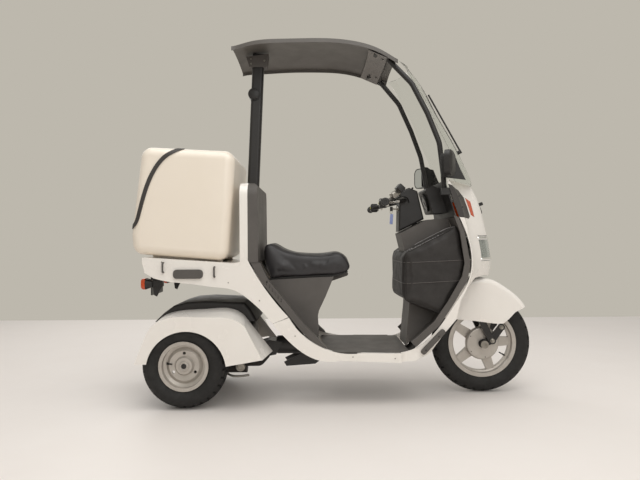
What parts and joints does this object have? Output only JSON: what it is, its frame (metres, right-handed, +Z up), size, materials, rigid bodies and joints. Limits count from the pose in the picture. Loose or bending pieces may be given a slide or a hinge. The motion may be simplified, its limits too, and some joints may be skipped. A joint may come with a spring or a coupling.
{
  "type": "three-wheel delivery scooter",
  "caption": "Roofed delivery scooter on one steered front wheel and a leaning rear axle, with a tall screen, a rear load box with a lifting door and a hinged saddle.",
  "frame": {"origin": "on the ground under the middle of the overall length, on the centre plane", "axes": "+X forward, +Y to the rider's left, +Z up"},
  "size_m": [1.908, 0.7524, 1.6898],
  "materials": {
    "black_steel": null,
    "cast_alloy": null,
    "black_plastic": null,
    "white_plastic": null,
    "silver_steel": null,
    "grey_plastic": null,
    "clear_lens": null,
    "orange_lens": null,
    "red_lens": null,
    "black_vinyl": null,
    "cream_box": null,
    "clear_screen": null,
    "black_rubber": null,
    "tyre_rubber": null,
    "silver_wheel": null
  },
  "bodies": {
    "body": {"back_cover": "white_plastic", "back_panel": "grey_plastic", "bag": "black_vinyl", "box_band": "black_rubber", "box_hinges": "silver_steel", "cowl_garnish": "grey_plastic", "dash_panel": "black_plastic", "deck_tray": "black_plastic", "floor_board": "grey_plastic", "front_cowl": "white_plastic", "front_turn_lamps": "orange_lens", "headlamp_lens": "clear_lens", "leg_shield": "grey_plastic", "load_box": "cream_box", "main_frame": "black_steel", "meter_box": "black_plastic", "mirrors": "black_plastic", "pillars": "black_steel", "plate_bracket": "black_steel", "rear_turn_lamps": "black_plastic", "rear_turn_lenses": "orange_lens", "roof": "grey_plastic", "roof_bracket": "grey_plastic", "roof_post": "black_steel", "screen_covers": "black_plastic", "seat_base": "grey_plastic", "side_rails": "grey_plastic", "side_trims": "grey_plastic", "sill_covers": "white_plastic", "step_guards": "grey_plastic", "tail_cover": "white_plastic", "tail_lamp": "red_lens", "windscreen": "clear_screen", "wiper": "black_steel"},
    "steering": {"fork": "black_steel", "fork_links": "black_steel", "front_axle": "silver_steel", "front_brake_plate": "cast_alloy", "front_fender": "white_plastic", "handlebar": "black_steel", "grips": "black_rubber", "levers": "silver_steel", "column_cover": "black_plastic"},
    "front_wheel": {"front_tyre": "tyre_rubber", "front_rim": "silver_wheel"},
    "rear_unit": {"joint_case": "cast_alloy", "power_unit": "cast_alloy", "engine_cover": "black_plastic", "rear_fenders": "white_plastic", "muffler": "silver_steel"},
    "rear_wheel_left": {"rear_tyre_left": "tyre_rubber", "rear_rim_left": "silver_wheel"},
    "rear_wheel_right": {"rear_tyre_right": "tyre_rubber", "rear_rim_right": "silver_wheel"},
    "seat": {"seat_pan": "black_plastic", "seat_cushion": "black_vinyl"},
    "box_door": {"box_door": "cream_box", "door_leaves": "silver_steel"}
  },
  "joints": [
    {"name": "steering", "type": "hinge", "parent": "body", "child": "steering", "pos_m": [0.49336, 0, 0.6], "axis": [-0.4384, 0, 0.8988], "range_deg": [-38, 38]},
    {"name": "front_wheel_spin", "type": "hinge", "parent": "steering", "child": "front_wheel", "pos_m": [0.706, 0, 0.241], "axis": [0, 1, 0], "continuous": true},
    {"name": "lean", "type": "hinge", "parent": "body", "child": "rear_unit", "pos_m": [-0.2, 0, 0.235], "axis": [1, 0, 0], "range_deg": [-18, 18]},
    {"name": "rear_left_spin", "type": "hinge", "parent": "rear_unit", "child": "rear_wheel_left", "pos_m": [-0.694, 0.2475, 0.1925], "axis": [0, 1, 0], "continuous": true},
    {"name": "rear_right_spin", "type": "hinge", "parent": "rear_unit", "child": "rear_wheel_right", "pos_m": [-0.694, -0.2475, 0.1925], "axis": [0, 1, 0], "continuous": true},
    {"name": "seat_tip", "type": "hinge", "parent": "body", "child": "seat", "pos_m": [0.046, 0, 0.582], "axis": [0, 1, 0], "range_deg": [0, 60]},
    {"name": "box_door_lift", "type": "hinge", "parent": "body", "child": "box_door", "pos_m": [-0.915, 0, 1.093], "axis": [0, 1, 0], "range_deg": [0, 80]}
  ]
}
